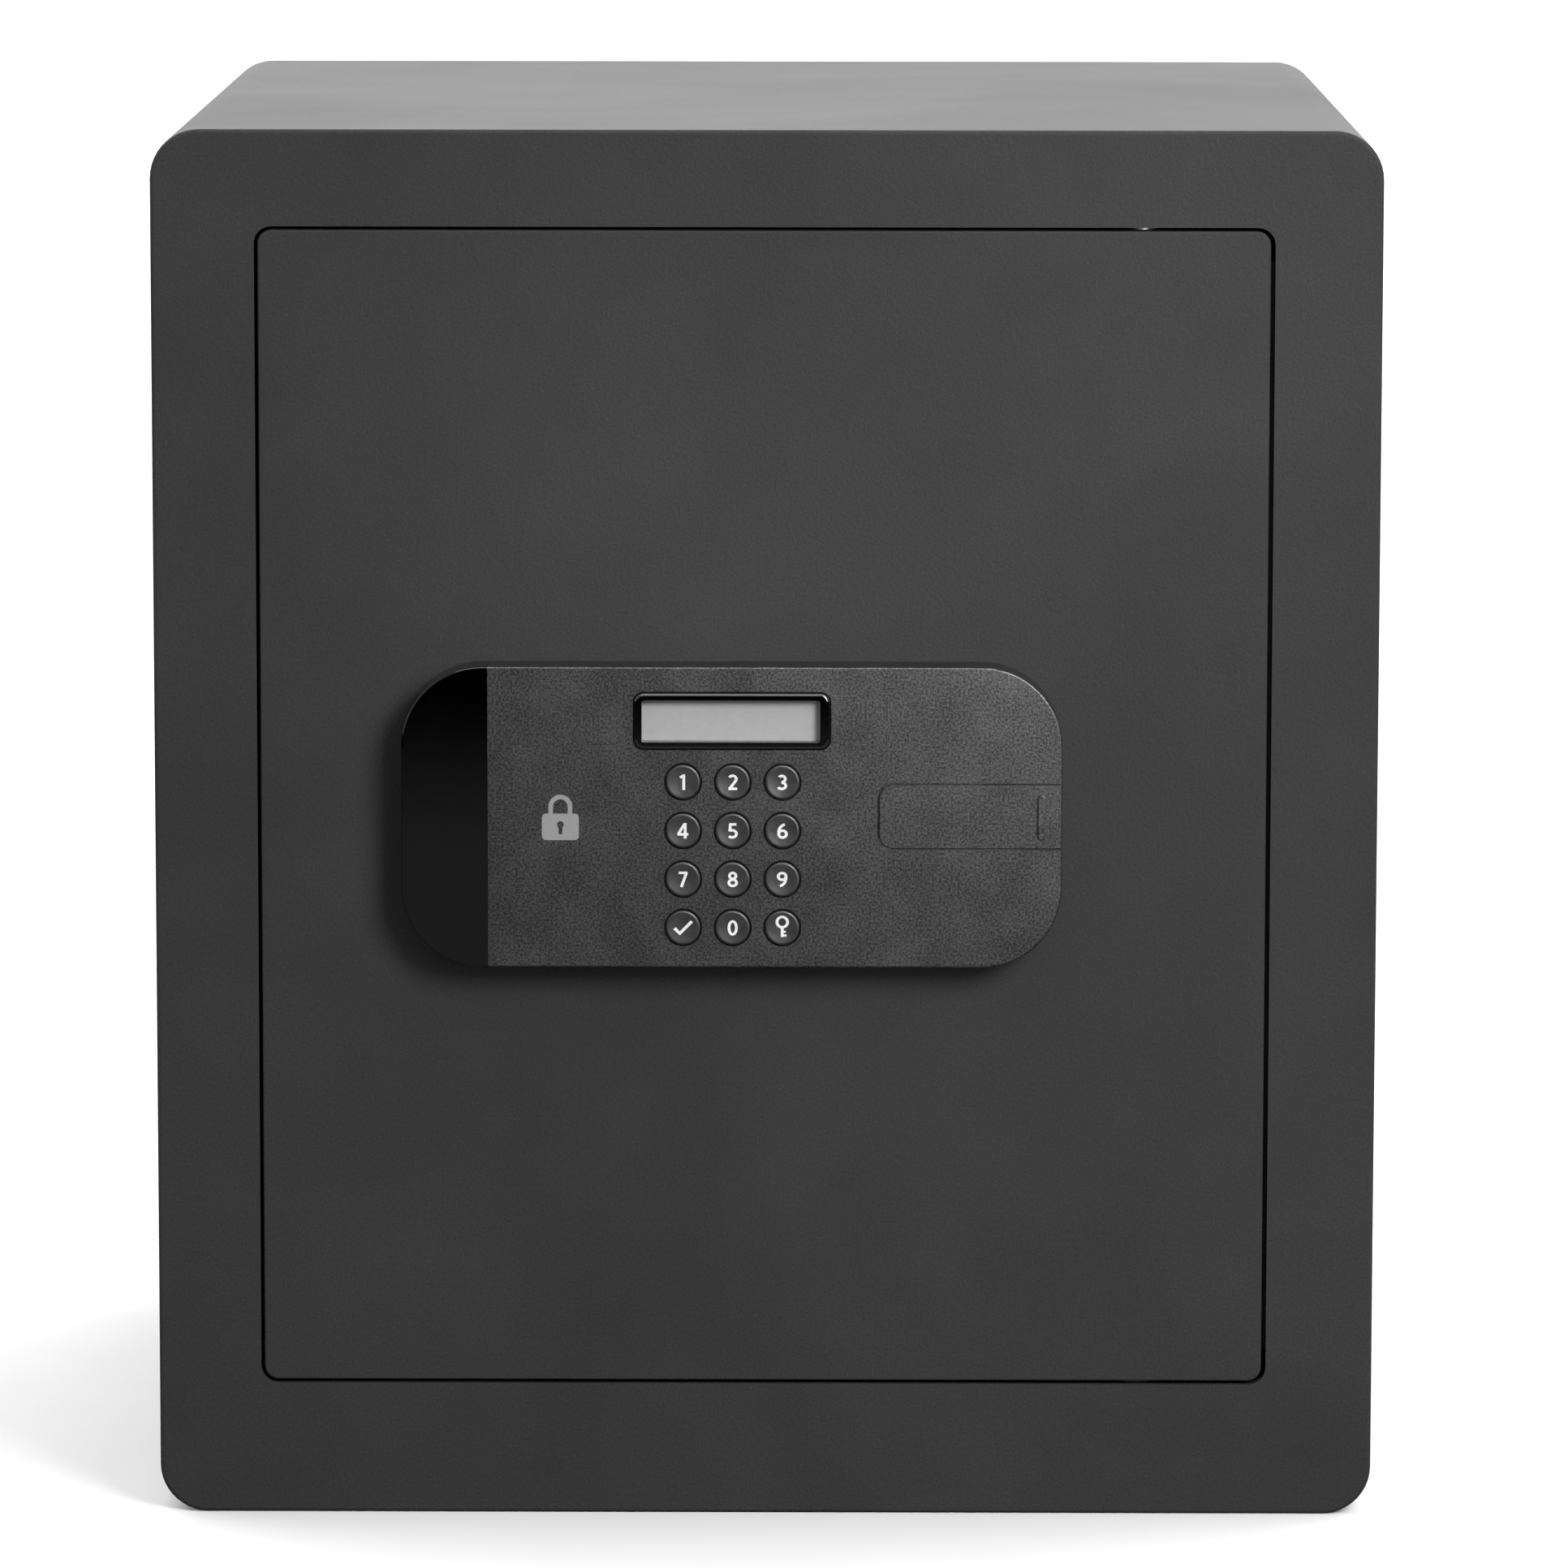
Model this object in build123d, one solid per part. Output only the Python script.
from build123d import *
import math
import os

# In-room safe: a steel cabinet with a flush, concealed-hinge door, motor-driven bolts and a
# keypad fascia. Millimetres, +Z up. The origin is the centre of the cabinet's underside and
# the front faces -Y, so a larger y is deeper inside. A (x, z) pair is a place on the front.

# Cabinet
WIDTH, HEIGHT, DEPTH = 350.0, 400.0, 340.0
CORNER_R = 14.0
WALL = 3.0
FRAME_T = 4.0
BACK_T = 3.0
FOLD_T = 2.4
EDGE_R = 1.2
SIDE = WIDTH / 2
FRONT, BACK = -DEPTH / 2, DEPTH / 2
FRAME_BACK = FRONT + FRAME_T
WELD_GAP = 0.1
FIXING_R = 6.0
FIXING_X = 90.0
BASE_FIXING_Y = 90.0
WALL_FIXING_Z = 300.0
MAT_T = 4.0

# Doorway and door plate
APERTURE_X = (-145.6, 144.4)
APERTURE_Z = (38.2, 372.5)
APERTURE_R = 5.0
LEAF_GAP = 1.0
HINGE_GAP = 1.3
DOOR_T = 6.0
DOOR_R = 4.0
DOOR_EDGE_R = 0.6
DOOR_X = (APERTURE_X[0] + LEAF_GAP, APERTURE_X[1] - HINGE_GAP)
DOOR_Z = (APERTURE_Z[0] + LEAF_GAP, APERTURE_Z[1] - LEAF_GAP)
DOOR_BACK = FRONT + DOOR_T

# Hinge line, behind the door plate and in from its edge
HINGE_X = DOOR_X[1] - 36.0
HINGE_Y = FRONT + 10.5
PIN_R = 4.0
RUNNING = 0.05
BUSH_R = 6.0
BLOCK_HEIGHT = 20.8
BLOCK_DEPTH = 14.0
BLOCK_HALF = 12.0
PRY_BAR_DEPTH = 6.0
PRY_BAR_REACH = 4.9
RAIL_T = 4.0
RAIL_GAP = 3.0
RAIL_BACK = FRONT + 24.0
JAMB_X = (-150.0, 152.4)
JAMB_BACK = FRONT + 38.0
HEAD_Z = APERTURE_Z[1] + RAIL_GAP
SILL_Z = APERTURE_Z[0] - RAIL_GAP

# Bolt work, between the door plate and its cover
BOLT_Z = (110.0, 205.0, 300.0)
BOLT_Y = FRONT + 20.0
BOLT_R = 10.0
BOLT_TIP_X = -139.5
BOLT_TAIL_X = -100.0
THROW = 18.0
CARRIAGE_Y = (FRONT + 33.0, FRONT + 36.0)
CARRIAGE_Z = (92.0, 318.0)
ARM_Z = (192.0, 232.0)
ARM_END_X = 78.0
STUDS = ((-90.0, 130.0), (-90.0, 275.0), (-40.0, 212.0))
STUD_R = 4.0
SLOT_CLEARANCE = 0.1
CAM_PIN_R = 3.0
THREAD_R = 4.0
THREAD_LENGTH = 20.0

# Rack and pinion
MODULE = 1.0
PINION_TEETH = 18
PRESSURE = math.radians(20.0)
PITCH_R = MODULE * PINION_TEETH / 2
BACKLASH = 0.12
RACK_PITCH_Z = 234.0
PINION_X = 8.0
PINION_Z = RACK_PITCH_Z + PITCH_R + 0.1
GEAR_Y = (CARRIAGE_Y[1], CARRIAGE_Y[1] + 8.0)
SHAFT_R = 3.0
MOTOR_R = 11.8
MOTOR_X = (PINION_X - 52.0, PINION_X - 18.0)
MOTOR_Y = DOOR_BACK + 14.0
MOTOR_Z = PINION_Z + 7.0

# Override lock
LOCK_X, LOCK_Z = 44.0, 205.6
LOCK_R = 9.4
PLUG_R = 6.0
TAIL_R = 4.0
CAM_Y = (FRONT + 37.5, FRONT + 40.5)
CAM_REACH = 30.0
CAM_PIN = (69.5, 219.6)

# Cover over the bolt work
COVER_X = (-138.0, 122.0)
COVER_Z = (74.0, 336.0)
COVER_BACK = FRONT + 58.0
SHEET = 1.5
FLANGE = 12.0
COVER_SCREW_X = (-120.0, -8.0, 104.0)

# Battery box in the cover
TRAY_X = (16.0, 80.0)
TRAY_Z = (116.0, 177.0)
TRAY_DEPTH = 17.5
CELL_R = 7.1
CELL_LENGTH = 50.5
CELL_PITCH = 15.2
CELL_Y = COVER_BACK - 9.5
LID_X = (13.0, 83.0)
LID_Z = (112.0, 181.0)
LID_T = 2.0
RESET = (-30.0, 100.0)

# Control board
BOARD_X = (-62.0, 44.0)
BOARD_Z = (80.0, 172.0)
BOARD_Y = (FRONT + 14.0, FRONT + 15.6)

# Keypad fascia on the front of the door
FASCIA_X = (-103.7, 84.4)
FASCIA_Z = (162.1, 248.5)
FASCIA_R = 23.0
FASCIA_FRONT = FRONT - 14.0
FASCIA_WALL = 2.5
FASCIA_EDGE_R = 0.6
SEAM_X = -79.2
SEAM_GAP = 0.12
GASKET_T = 1.0
PANEL_BACK = FASCIA_FRONT + FASCIA_WALL
CABLE_HOLE = (-20.0, 190.0)
CABLE_HOLE_R = 8.0
FASCIA_SCREWS = ((-66.0, 174.0), (-66.0, 236.0), (70.0, 174.0), (70.0, 236.0))
SCREW_R = 2.0

# Display
LCD_X = (-37.5, 18.3)
LCD_Z = (225.0, 241.1)
LCD_R = 2.8
BEZEL_PROUD = 1.0
BEZEL_EDGE_R = 0.9
OPENING_BEVEL = 0.3
LCD_WINDOW_X = (-35.25, 15.4)
LCD_WINDOW_Z = (227.2, 238.9)

# Keys, row by row from the top
KEY_NAMES = (("1", "2", "3"), ("4", "5", "6"), ("7", "8", "9"), ("enter", "0", "override"))
KEY_CENTRE_X = -9.37
KEY_TOP_Z = 215.6
KEY_PITCH = (14.13, 13.97)
KEY_R = 4.95
KEY_HOLE_R = 5.45
KEY_PROUD = 1.0
KEY_RIM_R = 0.6
KEY_FLANGE_R = 6.0
DISH_R = 30.0
DISH_DEPTH = 0.3

# Sliding cover over the lock
SLIDE_X0 = 32.35
SLIDE_Z = (196.5, 214.7)
SLIDE_R = 4.0
SLIDE_T = 2.0
SLIDE_GAP = 0.35
SLIDE_BEVEL = 0.2
TONGUE = 1.0
GRIP_X = (77.45, 79.65)
GRIP_Z = (199.1, 211.9)
GRIP_PROUD = 1.0

# Interior
SHELF_Z = 200.0
SHELF_T = 1.5
SHELF_Y = (-98.0, 160.0)
SHELF_LIP = 12.0


def block(x, y, z):
    """A box between two x, two y and two z values."""
    centre = Pos(sum(x) / 2, sum(y) / 2, sum(z) / 2)
    return centre * Box(x[1] - x[0], y[1] - y[0], z[1] - z[0])


def slab(sketch, y):
    """A sketch of the front, drawn in (x, z), given thickness between two y values."""
    return extrude(Plane.XZ.offset(-y[1]) * sketch, amount=y[1] - y[0])


def outline(x, z, r):
    """A rounded rectangle on the front."""
    return Pos(sum(x) / 2, sum(z) / 2) * RectangleRounded(x[1] - x[0], z[1] - z[0], r)


def inset(pair, d):
    return (pair[0] + d, pair[1] - d)


def rod_x(y, z, r, x):
    return Pos(sum(x) / 2, y, z) * Rot(0, 90, 0) * Cylinder(r, x[1] - x[0])


def rod_y(x, z, r, y):
    return Pos(x, sum(y) / 2, z) * Rot(90, 0, 0) * Cylinder(r, y[1] - y[0])


def rod_z(x, y, r, z):
    return Pos(x, y, sum(z) / 2) * Cylinder(r, z[1] - z[0])


def edges_at(solid, y):
    """The edges that lie in the plane at this y."""
    return solid.edges().filter_by_position(Axis.Y, y - 0.01, y + 0.01)


def tube(points, r, radius):
    """A round lead along straight runs and arcs."""
    path = FilletPolyline(*points, radius=radius)
    return sweep(Plane(path @ 0, z_dir=path % 0) * Circle(r), path=path)


# ---------------------------------------------------------------- cabinet

def cabinet_shell():
    outer = slab(outline((-SIDE, SIDE), (0, HEIGHT), CORNER_R), (FRAME_BACK, BACK))
    outer = fillet(edges_at(outer, BACK), EDGE_R)
    inner = outline((-SIDE + WALL, SIDE - WALL), (WALL, HEIGHT - WALL), CORNER_R - WALL)
    shell = outer - slab(inner, (FRAME_BACK, BACK))
    for x in (-FIXING_X, FIXING_X):
        for y in (-BASE_FIXING_Y, BASE_FIXING_Y):
            shell -= rod_z(x, y, FIXING_R, (-1, WALL + 1))
    return shell


def front_frame():
    plate = slab(outline((-SIDE, SIDE), (0, HEIGHT), CORNER_R), (FRONT, FRAME_BACK))
    plate = fillet(edges_at(plate, FRONT), EDGE_R)
    return plate - slab(outline(APERTURE_X, APERTURE_Z, APERTURE_R), (FRONT, FRAME_BACK))


def back_plate():
    edge = WALL + WELD_GAP
    plate = slab(
        outline((-SIDE + edge, SIDE - edge), (edge, HEIGHT - edge), CORNER_R - edge),
        (BACK - BACK_T, BACK),
    )
    for x in (-FIXING_X, FIXING_X):
        plate -= rod_y(x, WALL_FIXING_Z, FIXING_R, (BACK - BACK_T, BACK))
    return plate


def jamb(side):
    """A folded upright: a web beside the doorway, and a return out to the cabinet wall."""
    web = block(sorted((JAMB_X[side], JAMB_X[side] + (FOLD_T, -FOLD_T)[side])),
                (FRAME_BACK, JAMB_BACK), (WALL, HEIGHT - WALL))
    wall_x = (-SIDE + WALL, SIDE - WALL)[side]
    back = block(sorted((JAMB_X[side], wall_x)), (JAMB_BACK - FOLD_T, JAMB_BACK),
                 (CORNER_R, HEIGHT - CORNER_R))
    return web + back


def lock_jamb():
    upright = jamb(0)
    window = BOLT_R + 2
    for z in BOLT_Z:
        upright -= block((JAMB_X[0] - 1, JAMB_X[0] + FOLD_T + 1),
                         (BOLT_Y - window, BOLT_Y + window), (z - window, z + window))
    return upright


def hinge_jamb():
    return jamb(1)


def rail(z, leg_z):
    """A folded cross rail with a bush hole, and a leg that ties it to the cabinet."""
    x = (JAMB_X[0] + FOLD_T, JAMB_X[1] - FOLD_T)
    plate = block(x, (FRAME_BACK, RAIL_BACK), z)
    leg = block(x, (RAIL_BACK - WALL, RAIL_BACK), leg_z)
    return plate + leg - rod_z(HINGE_X, HINGE_Y, BUSH_R, z)


def head_rail():
    return rail((HEAD_Z, HEAD_Z + RAIL_T), (HEAD_Z, HEIGHT - WALL))


def sill_rail():
    return rail((SILL_Z - RAIL_T, SILL_Z), (WALL, SILL_Z))


def hinge_bushes():
    """Bronze bushes; the door's weight rests on the lower one's end."""
    spans = ((SILL_Z - RAIL_T, DOOR_Z[0] - RUNNING), (DOOR_Z[1] + 0.5, HEAD_Z + RAIL_T))
    return Compound(children=[
        rod_z(HINGE_X, HINGE_Y, BUSH_R, z) - rod_z(HINGE_X, HINGE_Y, PIN_R + RUNNING, z)
        for z in spans
    ])


def floor_mat():
    edge = CORNER_R + 1
    mat = block((-SIDE + edge, SIDE - edge), (JAMB_BACK + 2, BACK - BACK_T - 3), (WALL, WALL + MAT_T))
    mat = fillet(mat.edges().filter_by(Axis.Z), 6)
    for x in (-FIXING_X, FIXING_X):
        for y in (-BASE_FIXING_Y, BASE_FIXING_Y):
            mat -= rod_z(x, y, 2 * FIXING_R, (WALL, WALL + MAT_T))
    return mat


def shelf():
    x = (-SIDE + WALL + 2, SIDE - WALL - 2)
    top = block(x, SHELF_Y, (SHELF_Z, SHELF_Z + SHELF_T))
    lip = block(x, (SHELF_Y[0], SHELF_Y[0] + SHELF_T), (SHELF_Z - SHELF_LIP, SHELF_Z))
    tray = top + lip
    return fillet(tray.edges().filter_by_position(Axis.Y, SHELF_Y[0] - 0.01, SHELF_Y[0] + 0.01)
                  .filter_by_position(Axis.Z, SHELF_Z + SHELF_T - 0.01, SHELF_Z + SHELF_T + 0.01), 1)


def shelf_supports():
    """An angle on each side wall that the shelf lies on."""
    angles = []
    for side in (-1, 1):
        wall_x = side * (SIDE - WALL)
        y = (SHELF_Y[0] + 8, SHELF_Y[1] - 10)
        seat = block(sorted((wall_x, wall_x - side * 14)), y, (SHELF_Z - 2, SHELF_Z))
        leg = block(sorted((wall_x, wall_x - side * 2)), y, (SHELF_Z - 14, SHELF_Z - 2))
        angles.append(seat + leg)
    return Compound(children=angles)


# ---------------------------------------------------------------- door

def door_plate():
    plate = slab(outline(DOOR_X, DOOR_Z, DOOR_R), (FRONT, DOOR_BACK))
    plate = fillet(edges_at(plate, FRONT), DOOR_EDGE_R)
    plate -= rod_y(LOCK_X, LOCK_Z, LOCK_R + 0.2, (FRONT, DOOR_BACK))
    plate -= rod_y(*CABLE_HOLE, CABLE_HOLE_R, (FRONT, DOOR_BACK))
    for x, z in FASCIA_SCREWS:
        plate -= rod_y(x, z, SCREW_R + 0.2, (FRONT, DOOR_BACK))
    for x, z in cover_screw_places():
        plate -= rod_y(x, z, SCREW_R, (DOOR_BACK - 4.5, DOOR_BACK))
    return plate


def block_spans():
    return ((DOOR_Z[0], DOOR_Z[0] + BLOCK_HEIGHT), (DOOR_Z[1] - BLOCK_HEIGHT, DOOR_Z[1]))


def hinge_blocks():
    blocks = []
    for z in block_spans():
        body = block((HINGE_X - BLOCK_HALF, HINGE_X + BLOCK_HALF), (DOOR_BACK, DOOR_BACK + BLOCK_DEPTH), z)
        body = fillet(body.edges().filter_by(Axis.Z).group_by(Axis.Y)[-1], 4)
        blocks.append(body - rod_z(HINGE_X, HINGE_Y, PIN_R, z))
    return Compound(children=blocks)


def hinge_pins():
    low, high = block_spans()
    spans = ((SILL_Z - RAIL_T - 4, low[1]), (high[0], HEAD_Z + RAIL_T + 4))
    pins = [rod_z(HINGE_X, HINGE_Y, PIN_R, z) for z in spans]
    return Compound(children=[chamfer(p.edges().filter_by(GeomType.CIRCLE), 0.6) for p in pins])


def anti_pry_bar():
    """A bar on the hinge edge that stands behind the frame when the door is shut."""
    bar = block((DOOR_X[1] - 13, DOOR_X[1] + PRY_BAR_REACH), (DOOR_BACK, DOOR_BACK + PRY_BAR_DEPTH),
                inset(DOOR_Z, 9))
    return chamfer(bar.edges().filter_by(Axis.Z).group_by(Axis.Y)[-1], 1)


def bolt_guide():
    """The angle near the leading edge that the bolts run through."""
    web_x = (COVER_X[0] + 4, COVER_X[0] + 7)
    z = (CARRIAGE_Z[0] - 7, CARRIAGE_Z[1] + 7)
    angle = block(web_x, (DOOR_BACK, BOLT_Y + 14), z)
    angle += block((web_x[1], web_x[1] + 13), (DOOR_BACK, DOOR_BACK + 2.5), z)
    for bolt_z in BOLT_Z:
        angle -= rod_x(BOLT_Y, bolt_z, BOLT_R + 0.08, web_x)
    return angle


def guide_studs():
    """Headed shoulder studs that the bolt carriage slides on."""
    return Compound(children=[
        rod_y(x, z, STUD_R + 2, (DOOR_BACK, CARRIAGE_Y[0] - SLOT_CLEARANCE))
        + rod_y(x, z, STUD_R, (DOOR_BACK, CARRIAGE_Y[1] + 1))
        + rod_y(x, z, STUD_R + 3, (CARRIAGE_Y[1] + SLOT_CLEARANCE, CARRIAGE_Y[1] + 2.1))
        for x, z in STUDS
    ])


# ---------------------------------------------------------------- bolt carriage

def bolt_carriage():
    x0 = BOLT_TAIL_X
    upright = block((x0, x0 + 38), CARRIAGE_Y, CARRIAGE_Z)
    arm = block((x0 + 38, ARM_END_X), CARRIAGE_Y, ARM_Z)
    flange = block((x0, x0 + 3), (BOLT_Y - BOLT_R, CARRIAGE_Y[1]), CARRIAGE_Z)
    carriage = upright + arm + flange
    for z in BOLT_Z:
        carriage -= rod_x(BOLT_Y, z, THREAD_R + 0.2, (x0, x0 + 3))
    slot_r = STUD_R + SLOT_CLEARANCE
    for x, z in STUDS:
        slot = outline((x - slot_r, x + THROW + slot_r), (z - slot_r, z + slot_r), slot_r - 0.001)
        carriage -= slab(slot, CARRIAGE_Y)
    window_r = TAIL_R + 3
    window = outline((LOCK_X - window_r, LOCK_X + THROW + window_r),
                     (LOCK_Z - window_r, LOCK_Z + window_r), 3)
    carriage -= slab(window, CARRIAGE_Y)
    return carriage + rod_y(*CAM_PIN, CAM_PIN_R, (CARRIAGE_Y[0], CARRIAGE_Y[1] + 7.5))


def live_bolts():
    bolts = []
    for z in BOLT_Z:
        bolt = rod_x(BOLT_Y, z, BOLT_R, (BOLT_TIP_X, BOLT_TAIL_X))
        bolt = chamfer(bolt.edges().filter_by(GeomType.CIRCLE).group_by(Axis.X)[0], 1.5)
        bolts.append(bolt - rod_x(BOLT_Y, z, THREAD_R, (BOLT_TAIL_X - THREAD_LENGTH, BOLT_TAIL_X)))
    return Compound(children=bolts)


def bolt_screws():
    """Hexagon socket screws through the flange into the bolts."""
    screws = []
    for z in BOLT_Z:
        seat = BOLT_TAIL_X + 3
        head = rod_x(BOLT_Y, z, 6.5, (seat, seat + 5.5))
        head = chamfer(head.edges().filter_by(GeomType.CIRCLE).group_by(Axis.X)[-1], 0.6)
        socket = Plane.YZ.offset(seat + 2.5) * Pos(BOLT_Y, z) * RegularPolygon(3.4, 6)
        screws.append(head + rod_x(BOLT_Y, z, THREAD_R, (BOLT_TAIL_X - THREAD_LENGTH, seat))
                      - extrude(socket, 3))
    return Compound(children=screws)


def rack():
    """A straight rack on the back of the arm, with its teeth up."""
    half = (math.pi / 2 - BACKLASH) / 2
    slope = math.tan(PRESSURE)
    root_z, tip_z = RACK_PITCH_Z - 1.25 * MODULE, RACK_PITCH_Z + 0.95 * MODULE
    bar = block((PINION_X - 16, PINION_X + 30), GEAR_Y, (ARM_Z[1] - 10, root_z))
    for i in range(-4, 9):
        x = PINION_X + i * math.pi * MODULE
        wide = half + (RACK_PITCH_Z - root_z) * slope
        narrow = half - (tip_z - RACK_PITCH_Z) * slope
        tooth = Polygon((x - wide, root_z), (x + wide, root_z), (x + narrow, tip_z),
                        (x - narrow, tip_z), align=None)
        bar += slab(tooth, GEAR_Y)
    return bar


def involute_flank(base_r, start_r, end_r, steps=6):
    """Points (radius, angle) of an involute from one radius to another."""
    points = []
    for i in range(steps + 1):
        r = start_r + (end_r - start_r) * i / steps
        roll = math.sqrt(max(r * r / (base_r * base_r) - 1, 0))
        points.append((r, roll - math.atan(roll)))
    return points


def drive_pinion():
    """An 18-tooth pinion cut on its own shaft; a tooth space faces the rack."""
    base_r = PITCH_R * math.cos(PRESSURE)
    root_r, tip_r = PITCH_R - 1.25 * MODULE, PITCH_R + 0.95 * MODULE
    half = (math.pi / 2 - BACKLASH) / 2 / PITCH_R
    pitch_angle = math.tan(PRESSURE) - PRESSURE
    flank = involute_flank(base_r, base_r, tip_r)
    outline_points = []
    for tooth in range(PINION_TEETH):
        centre = -math.pi / 2 + (tooth + 0.5) * 2 * math.pi / PINION_TEETH
        rising = [(r, centre - half - pitch_angle + a) for r, a in flank]
        falling = [(r, centre + half + pitch_angle - a) for r, a in reversed(flank)]
        ends = [(root_r, centre - half - pitch_angle)], [(root_r, centre + half + pitch_angle)]
        outline_points += ends[0] + rising + falling + ends[1]
    profile = Polygon(*[(r * math.cos(a), r * math.sin(a)) for r, a in outline_points], align=None)
    gear = slab(Pos(PINION_X, PINION_Z) * profile, (GEAR_Y[0] + 0.5, GEAR_Y[1]))
    return gear + rod_y(PINION_X, PINION_Z, SHAFT_R, (GEAR_Y[0] - 14, GEAR_Y[1] + 2))


def gear_motor():
    """Worm gearbox with its motor lying across the door."""
    box_y = (DOOR_BACK + 2, DOOR_BACK + 23)
    case = block((PINION_X - 18, PINION_X + 20), box_y, (PINION_Z - 17, PINION_Z + 19))
    case = fillet(case.edges().filter_by(Axis.Y), 3)
    case += rod_y(PINION_X, PINION_Z, 6, (box_y[1], box_y[1] + 1.5))
    case += rod_x(MOTOR_Y, MOTOR_Z, MOTOR_R, MOTOR_X)
    case += rod_x(MOTOR_Y, MOTOR_Z, 4, (MOTOR_X[0] - 3, MOTOR_X[0]))
    bore = rod_y(PINION_X, PINION_Z, SHAFT_R + RUNNING, (GEAR_Y[0] - 15, box_y[1] + 1.5))
    return case - bore


def motor_bracket():
    """A base plate under the gearbox with one turned-up side."""
    plate = block((PINION_X - 24, PINION_X + 24), (DOOR_BACK, DOOR_BACK + 2),
                  (PINION_Z - 20, PINION_Z + 23))
    side = block((PINION_X + 20, PINION_X + 22), (DOOR_BACK + 2, DOOR_BACK + 18),
                 (PINION_Z - 12, PINION_Z + 14))
    return plate + side


# ---------------------------------------------------------------- override lock

def lock_body():
    barrel = rod_y(LOCK_X, LOCK_Z, LOCK_R, (PANEL_BACK + 1.5, CARRIAGE_Y[0] - 3))
    return barrel - rod_y(LOCK_X, LOCK_Z, PLUG_R + RUNNING, (PANEL_BACK + 1.5, CARRIAGE_Y[0] - 3))


def lock_nut():
    nut = slab(Pos(LOCK_X, LOCK_Z) * RegularPolygon(13.8, 6), (DOOR_BACK, DOOR_BACK + 5))
    return nut - rod_y(LOCK_X, LOCK_Z, LOCK_R, (DOOR_BACK, DOOR_BACK + 5))


def key_plug():
    front = PANEL_BACK + 1.9
    plug = rod_y(LOCK_X, LOCK_Z, PLUG_R, (front, CARRIAGE_Y[0] - 2))
    plug += rod_y(LOCK_X, LOCK_Z, TAIL_R, (CARRIAGE_Y[0] - 2, CAM_Y[1] + 1.5))
    return plug - block((LOCK_X - 1.1, LOCK_X + 1.1), (front, front + 18),
                        (LOCK_Z - 4.2, LOCK_Z + 4.2))


def lock_cam():
    """A finger on the plug's tail that pushes the carriage's pin towards open."""
    hub = rod_y(LOCK_X, LOCK_Z, TAIL_R + 3.5, CAM_Y)
    finger = slab(outline((LOCK_X - 4, LOCK_X + 4), (LOCK_Z, LOCK_Z + CAM_REACH), 3.9), CAM_Y)
    return hub + finger - rod_y(LOCK_X, LOCK_Z, TAIL_R, CAM_Y)


# ---------------------------------------------------------------- cover and electrics

def cover_screw_places():
    return [(x, z) for x in COVER_SCREW_X
            for z in (COVER_Z[0] - FLANGE / 2, COVER_Z[1] + FLANGE / 2)]


def bolt_work_cover():
    """A folded cover, open towards the door, flanged along its top and bottom."""
    y = (DOOR_BACK, COVER_BACK)
    cover = block(COVER_X, y, COVER_Z)
    cover = fillet(cover.edges().group_by(Axis.Y)[-1], 2)
    cover -= block(inset(COVER_X, SHEET), (DOOR_BACK, COVER_BACK - SHEET), inset(COVER_Z, SHEET))
    for z in ((COVER_Z[0] - FLANGE, COVER_Z[0]), (COVER_Z[1], COVER_Z[1] + FLANGE)):
        cover += block(COVER_X, (DOOR_BACK, DOOR_BACK + SHEET), z)
    for x, z in cover_screw_places():
        cover -= rod_y(x, z, SCREW_R + 0.2, (DOOR_BACK, DOOR_BACK + SHEET))
    for z in BOLT_Z:
        cover -= rod_x(BOLT_Y, z, BOLT_R + 1, (COVER_X[0], COVER_X[0] + SHEET))
    cover -= block(inset(TRAY_X, SHEET), (COVER_BACK - SHEET, COVER_BACK), inset(TRAY_Z, SHEET))
    cover -= rod_y(*RESET, 5.2, (COVER_BACK - SHEET, COVER_BACK))
    return cover + lid_rails()


def lid_rails():
    """Lipped rails either side of the battery lid, and the stop above it."""
    lid_back = COVER_BACK + 0.1 + LID_T
    lip_y = (lid_back + 0.1, lid_back + 1.5)
    rails = block((LID_X[0] - 3, LID_X[1] + 3), (COVER_BACK, lip_y[1]), (LID_Z[1] + 0.2, LID_Z[1] + 2))
    for outer, inner, lip in ((LID_X[0] - 3, LID_X[0] - 0.1, LID_X[0] + 2),
                              (LID_X[1] + 3, LID_X[1] + 0.1, LID_X[1] - 2)):
        rails += block(sorted((outer, inner)), (COVER_BACK, lip_y[1]), (LID_Z[0], LID_Z[1] + 2))
        rails += block(sorted((outer, lip)), lip_y, (LID_Z[0], LID_Z[1] + 2))
    return rails


def cover_screws():
    seat = DOOR_BACK + SHEET
    screws = []
    for x, z in cover_screw_places():
        head = rod_y(x, z, 3.6, (seat, seat + 2.2))
        head = fillet(head.edges().filter_by(GeomType.CIRCLE).group_by(Axis.Y)[-1], 0.9)
        head -= block((x - 2, x + 2), (seat + 1.2, seat + 2.3), (z - 0.5, z + 0.5))
        head -= block((x - 0.5, x + 0.5), (seat + 1.2, seat + 2.3), (z - 2, z + 2))
        screws.append(head + rod_y(x, z, SCREW_R, (DOOR_BACK - 4.4, seat)))
    return Compound(children=screws)


def battery_cover():
    y = (COVER_BACK + 0.1, COVER_BACK + 0.1 + LID_T)
    lid = block(LID_X, y, LID_Z)
    centre_x = sum(LID_X) / 2
    for i in range(5):
        z = LID_Z[1] - 8 - 2.4 * i
        lid += block((centre_x - 14, centre_x + 14), (y[1], y[1] + 0.7), (z - 0.6, z + 0.6))
    return lid


def battery_tray():
    y = (COVER_BACK - SHEET - TRAY_DEPTH, COVER_BACK - SHEET)
    return block(TRAY_X, y, TRAY_Z) - block(inset(TRAY_X, SHEET), (y[0] + SHEET, y[1]),
                                            inset(TRAY_Z, SHEET))


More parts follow.
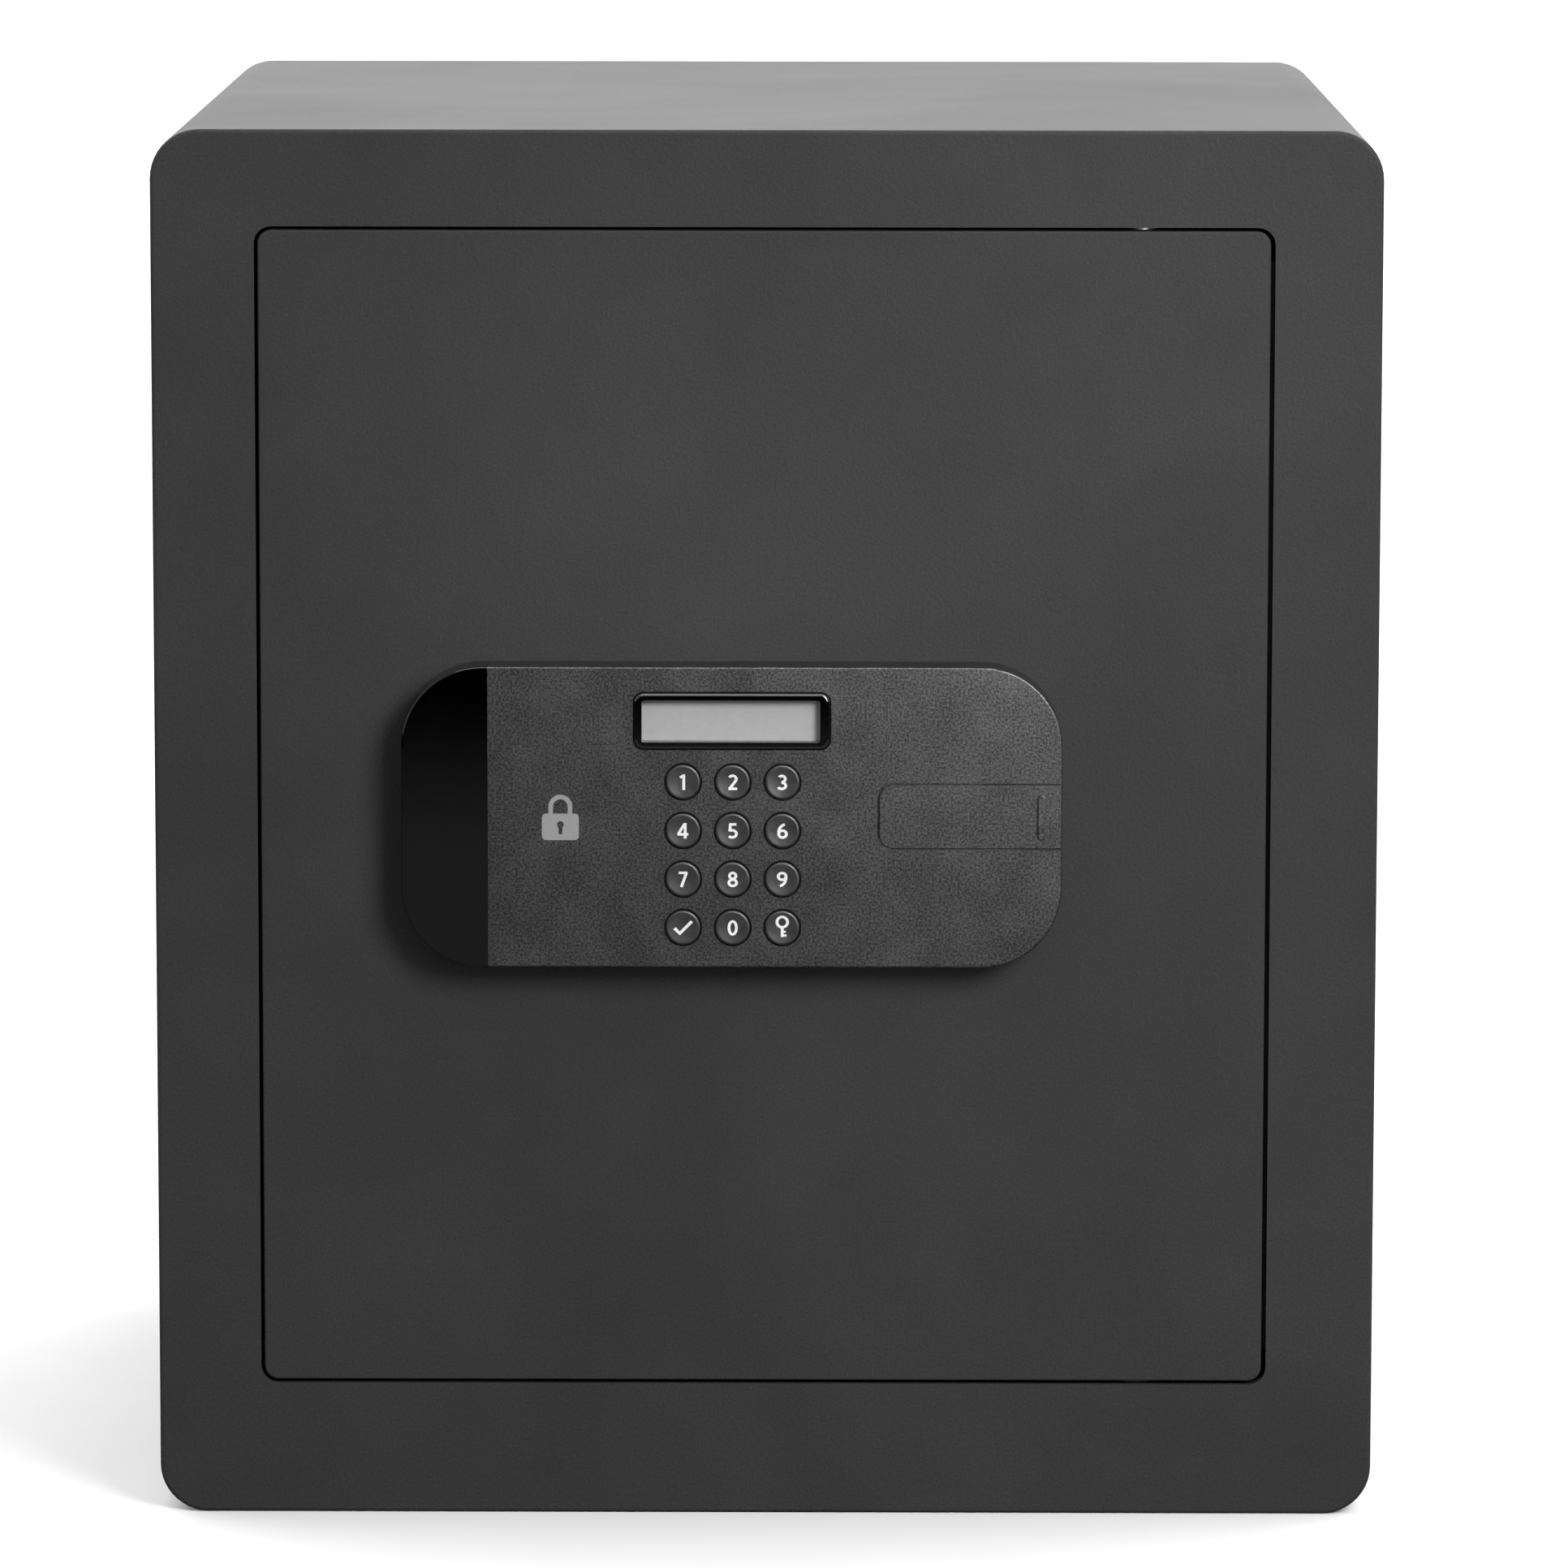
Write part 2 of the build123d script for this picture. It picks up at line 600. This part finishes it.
def cells():
    """Each cell's x, and whether its positive end is up."""
    centre = sum(TRAY_X) / 2
    return [(centre + (i - 1.5) * CELL_PITCH, i % 2 == 0) for i in range(4)]


def cell_ends(up):
    """The z of a cell's body, nub, spring and plate between the tray's end walls."""
    low, high = inset(TRAY_Z, SHEET)
    if up:
        body = (low + 5.5, low + 5.5 + CELL_LENGTH)
        return body, (body[1], body[1] + 1.5), (low, body[0]), (body[1] + 1.5, high)
    body = (high - 5.5 - CELL_LENGTH, high - 5.5)
    return body, (body[0] - 1.5, body[0]), (body[1], high), (low, body[0] - 1.5)


def batteries():
    out = []
    for x, up in cells():
        body, nub, _, _ = cell_ends(up)
        can = rod_z(x, CELL_Y, CELL_R, body)
        can = fillet(can.edges().filter_by(GeomType.CIRCLE), 0.7)
        out.append(can + rod_z(x, CELL_Y, 2.7, nub))
    return Compound(children=out)


def battery_contacts():
    """A conical spring at each negative end and a plate at each positive end."""
    out = []
    for x, up in cells():
        _, _, spring, plate = cell_ends(up)
        middle = (spring[0] + spring[1]) / 2
        radii = (4.2, 2.6) if up else (2.6, 4.2)
        out.append(Pos(x, CELL_Y, middle) * Cone(*radii, spring[1] - spring[0]))
        out.append(block((x - 5, x + 5), (CELL_Y - 5, CELL_Y + 5), plate))
    return Compound(children=out)


def control_board():
    return block(BOARD_X, BOARD_Y, BOARD_Z)


def board_parts():
    """Connectors, chips, relay, capacitors, reset switch and the four posts."""
    y0 = BOARD_Y[1]
    boxes = (
        ((-26, -14), 6.4, (164, 172)), ((-61, -53), 6.4, (164, 172)), ((26, 34), 6.4, (125, 135)),
        ((-48, -30), 1.6, (128, 146)), ((-5, 5), 1.4, (140, 150)), ((8, 26), 9.0, (92, 108)),
        ((RESET[0] - 5, RESET[0] + 5), 3.5, (RESET[1] - 5, RESET[1] + 5)),
    )
    parts = [block(x, (y0, y0 + h), z) for x, h, z in boxes]
    for x, z in ((-6, 118), (6, 118), (36, 112)):
        parts.append(rod_y(x, z, 4, (y0, y0 + 8)))
    for x in inset(BOARD_X, 4):
        for z in inset(BOARD_Z, 4):
            parts.append(rod_y(x, z, 2.8, (DOOR_BACK, BOARD_Y[0])))
    return Compound(children=parts)


def leads():
    """Fascia, motor and battery leads, each from its plug to the control board."""
    y = BOARD_Y[1] + 3.2
    fascia = tube([(CABLE_HOLE[0], FRONT - 1.2, CABLE_HOLE[1]), (CABLE_HOLE[0], y, CABLE_HOLE[1]),
                   (CABLE_HOLE[0], y, BOARD_Z[1])], 2.0, 8.0)
    turn_x = MOTOR_X[0] - 13
    motor = tube([(MOTOR_X[0] - 3, MOTOR_Y, MOTOR_Z), (turn_x, MOTOR_Y, MOTOR_Z),
                  (turn_x, MOTOR_Y, BOARD_Z[1])], 1.3, 4.5)
    battery = rod_y(30, 130, 1.3, (BOARD_Y[1] + 6.4, COVER_BACK - SHEET - TRAY_DEPTH))
    return Compound(children=[fascia, motor, battery])


def reset_button():
    inner = COVER_BACK - SHEET
    cap = rod_y(*RESET, 4.9, (inner - 0.1, COVER_BACK + 1.5))
    cap = fillet(cap.edges().filter_by(GeomType.CIRCLE).group_by(Axis.Y)[-1], 0.6)
    cap += rod_y(*RESET, 6.5, (inner - 1.2, inner - 0.1))
    return cap + rod_y(*RESET, 2, (BOARD_Y[1] + 5.2, inner - 1.2))


# ---------------------------------------------------------------- fascia

def fascia_shell(x):
    """The part of the fascia's hollow moulding between two x values."""
    solid = slab(outline(FASCIA_X, FASCIA_Z, FASCIA_R), (FASCIA_FRONT, FRONT - GASKET_T))
    solid = fillet(edges_at(solid, FASCIA_FRONT), FASCIA_EDGE_R)
    hollow = outline(inset(FASCIA_X, FASCIA_WALL), inset(FASCIA_Z, FASCIA_WALL),
                     FASCIA_R - FASCIA_WALL)
    solid -= slab(hollow, (PANEL_BACK, FRONT - GASKET_T))
    return solid & block(x, (FASCIA_FRONT, FRONT), FASCIA_Z)


def gloss_end_cap():
    return fascia_shell((FASCIA_X[0], SEAM_X - SEAM_GAP / 2))


def key_places():
    """(name, x, z) of every key."""
    return [(name, KEY_CENTRE_X + (col - 1) * KEY_PITCH[0], KEY_TOP_Z - row * KEY_PITCH[1])
            for row, names in enumerate(KEY_NAMES) for col, name in enumerate(names)]


def opening_edges(shell, x, z):
    """The front edges of an opening in the fascia."""
    reach = 0.5
    front = edges_at(shell, FASCIA_FRONT).filter_by_position(Axis.X, x[0] - reach, x[1] + reach)
    return front.filter_by_position(Axis.Z, z[0] - reach, z[1] + reach)


def fascia_housing():
    """Hollow moulding with key holes, display opening, screw bosses and the slide's channel."""
    shell = fascia_shell((SEAM_X + SEAM_GAP / 2, FASCIA_X[1]))
    floor_y = FASCIA_FRONT + SLIDE_T + 0.1
    shell += block((SLIDE_X0 - 3, FASCIA_X[1] - 1), (PANEL_BACK, floor_y + 2), inset(SLIDE_Z, -4))
    for x, z in FASCIA_SCREWS:
        shell += rod_y(x, z, 4, (PANEL_BACK, FRONT - 0.05))
        shell -= rod_y(x, z, SCREW_R, (FRONT - 8, FRONT))
    for _, x, z in key_places():
        shell -= rod_y(x, z, KEY_HOLE_R, (FASCIA_FRONT, PANEL_BACK))
    shell -= slab(outline(inset(LCD_X, -0.05), inset(LCD_Z, -0.05), LCD_R), (FASCIA_FRONT, PANEL_BACK))
    shell = chamfer(opening_edges(shell, LCD_X, LCD_Z), OPENING_BEVEL)
    channel = outline((SLIDE_X0 - SLIDE_GAP, FASCIA_X[1] + 10), inset(SLIDE_Z, -SLIDE_GAP), SLIDE_R)
    groove = outline((SLIDE_X0 - SLIDE_GAP - TONGUE, FASCIA_X[1] + 10),
                     inset(SLIDE_Z, -SLIDE_GAP - TONGUE), SLIDE_R)
    shell -= slab(channel, (FASCIA_FRONT - 1, floor_y))
    shell = chamfer(opening_edges(shell, (SLIDE_X0, FASCIA_X[1]), SLIDE_Z), SLIDE_BEVEL)
    shell -= slab(groove, (floor_y - 1.1, floor_y))
    return shell - rod_y(LOCK_X, LOCK_Z, LOCK_R + 0.2, (FASCIA_FRONT, FRONT))


def slide_cover():
    """The cover that slides right to show the lock, with a tongue round its back edge."""
    back = FASCIA_FRONT + SLIDE_T
    reach = FASCIA_X[1] + 10
    face = slab(outline((SLIDE_X0, reach), SLIDE_Z, SLIDE_R), (FASCIA_FRONT, back))
    face = chamfer(edges_at(face, FASCIA_FRONT), SLIDE_BEVEL)
    tongue = slab(outline((SLIDE_X0 - TONGUE, reach), inset(SLIDE_Z, -TONGUE), SLIDE_R),
                  (back - 0.9, back))
    cover = (face + tongue) & block((0, FASCIA_X[1]), (FASCIA_FRONT, back), FASCIA_Z)
    corner = edges_at(cover, FASCIA_FRONT).group_by(Axis.X)[-1]
    cover = fillet(corner, FASCIA_EDGE_R)
    grip_front = FASCIA_FRONT - GRIP_PROUD
    grip = slab(outline(GRIP_X, GRIP_Z, 1.05), (grip_front, FASCIA_FRONT + 0.5))
    grip = fillet(edges_at(grip, grip_front), 0.3)
    return cover + grip


def fascia_gasket():
    y = (FRONT - GASKET_T, FRONT)
    ring = slab(outline(inset(FASCIA_X, 0.8), inset(FASCIA_Z, 0.8), FASCIA_R - 0.8), y)
    return ring - slab(outline(inset(FASCIA_X, 2.8), inset(FASCIA_Z, 2.8), FASCIA_R - 2.8), y)


def fascia_screws():
    screws = []
    for x, z in FASCIA_SCREWS:
        head = rod_y(x, z, 3.75, (DOOR_BACK, DOOR_BACK + 2.4))
        head = fillet(head.edges().filter_by(GeomType.CIRCLE).group_by(Axis.Y)[-1], 0.9)
        screws.append(head + rod_y(x, z, SCREW_R, (FRONT - 7.5, DOOR_BACK)))
    return Compound(children=screws)


def lcd_bezel():
    y = (FASCIA_FRONT - BEZEL_PROUD, PANEL_BACK - 0.3)
    frame = slab(outline(LCD_X, LCD_Z, LCD_R), y)
    frame = fillet(edges_at(frame, y[0]), BEZEL_EDGE_R)
    frame -= slab(outline(LCD_WINDOW_X, LCD_WINDOW_Z, 0.8), y)
    return fillet(edges_at(frame, y[0]).sort_by(Edge.length)[:8], 0.25)


def lcd_window():
    return slab(outline(inset(LCD_WINDOW_X, 0.05), inset(LCD_WINDOW_Z, 0.05), 0.75),
                (FASCIA_FRONT + 1.1, PANEL_BACK - 0.3))


def lcd_panel():
    return block(inset(LCD_X, 1), (PANEL_BACK - 0.25, PANEL_BACK + 3), inset(LCD_Z, 1))


def keypad_mat():
    xs = [x for _, x, _ in key_places()]
    zs = [z for _, _, z in key_places()]
    mat = block((min(xs) - 7, max(xs) + 7), (PANEL_BACK + 3.5, PANEL_BACK + 4.4),
                (min(zs) - 6, max(zs) + 6.5))
    return fillet(mat.edges().filter_by(Axis.Y), 3)


def fascia_board():
    """The board behind the keys and display, with the plug over the cable hole."""
    y = (PANEL_BACK + 4.6, PANEL_BACK + 6.2)
    board = block((-60, 26), y, (166.5, 244))
    x, z = CABLE_HOLE
    return board + block((x - 6, x + 6), (y[1], FRONT - 1.2), (z - 3, z + 3))


def key(x, z):
    """A dished round key with a retaining flange and a short stem."""
    front = FASCIA_FRONT - KEY_PROUD
    cap = rod_y(x, z, KEY_R, (front, PANEL_BACK + 0.1))
    cap = fillet(edges_at(cap, front), KEY_RIM_R)
    cap -= Pos(x, front + DISH_DEPTH - DISH_R, z) * Sphere(DISH_R)
    cap += rod_y(x, z, KEY_FLANGE_R, (PANEL_BACK + 0.1, PANEL_BACK + 0.9))
    return cap + rod_y(x, z, 2, (PANEL_BACK + 0.9, PANEL_BACK + 2.2))


NODES = (
    cabinet_shell, front_frame, back_plate, lock_jamb, hinge_jamb, head_rail, sill_rail,
    hinge_bushes, floor_mat, shelf, shelf_supports,
    door_plate, hinge_blocks, hinge_pins, anti_pry_bar, bolt_guide, guide_studs,
    bolt_carriage, live_bolts, bolt_screws, rack, drive_pinion, gear_motor, motor_bracket,
    lock_body, lock_nut, key_plug, lock_cam,
    bolt_work_cover, cover_screws, battery_cover, battery_tray, batteries, battery_contacts,
    control_board, board_parts, leads, reset_button,
    fascia_housing, gloss_end_cap, slide_cover, fascia_gasket, fascia_screws,
    lcd_bezel, lcd_window, lcd_panel, keypad_mat, fascia_board,
)


def main():
    os.makedirs("parts", exist_ok=True)
    for make in NODES:
        export_step(make(), f"parts/{make.__name__}.step")
    for name, x, z in key_places():
        export_step(key(x, z), f"parts/key_{name}.step")


main()
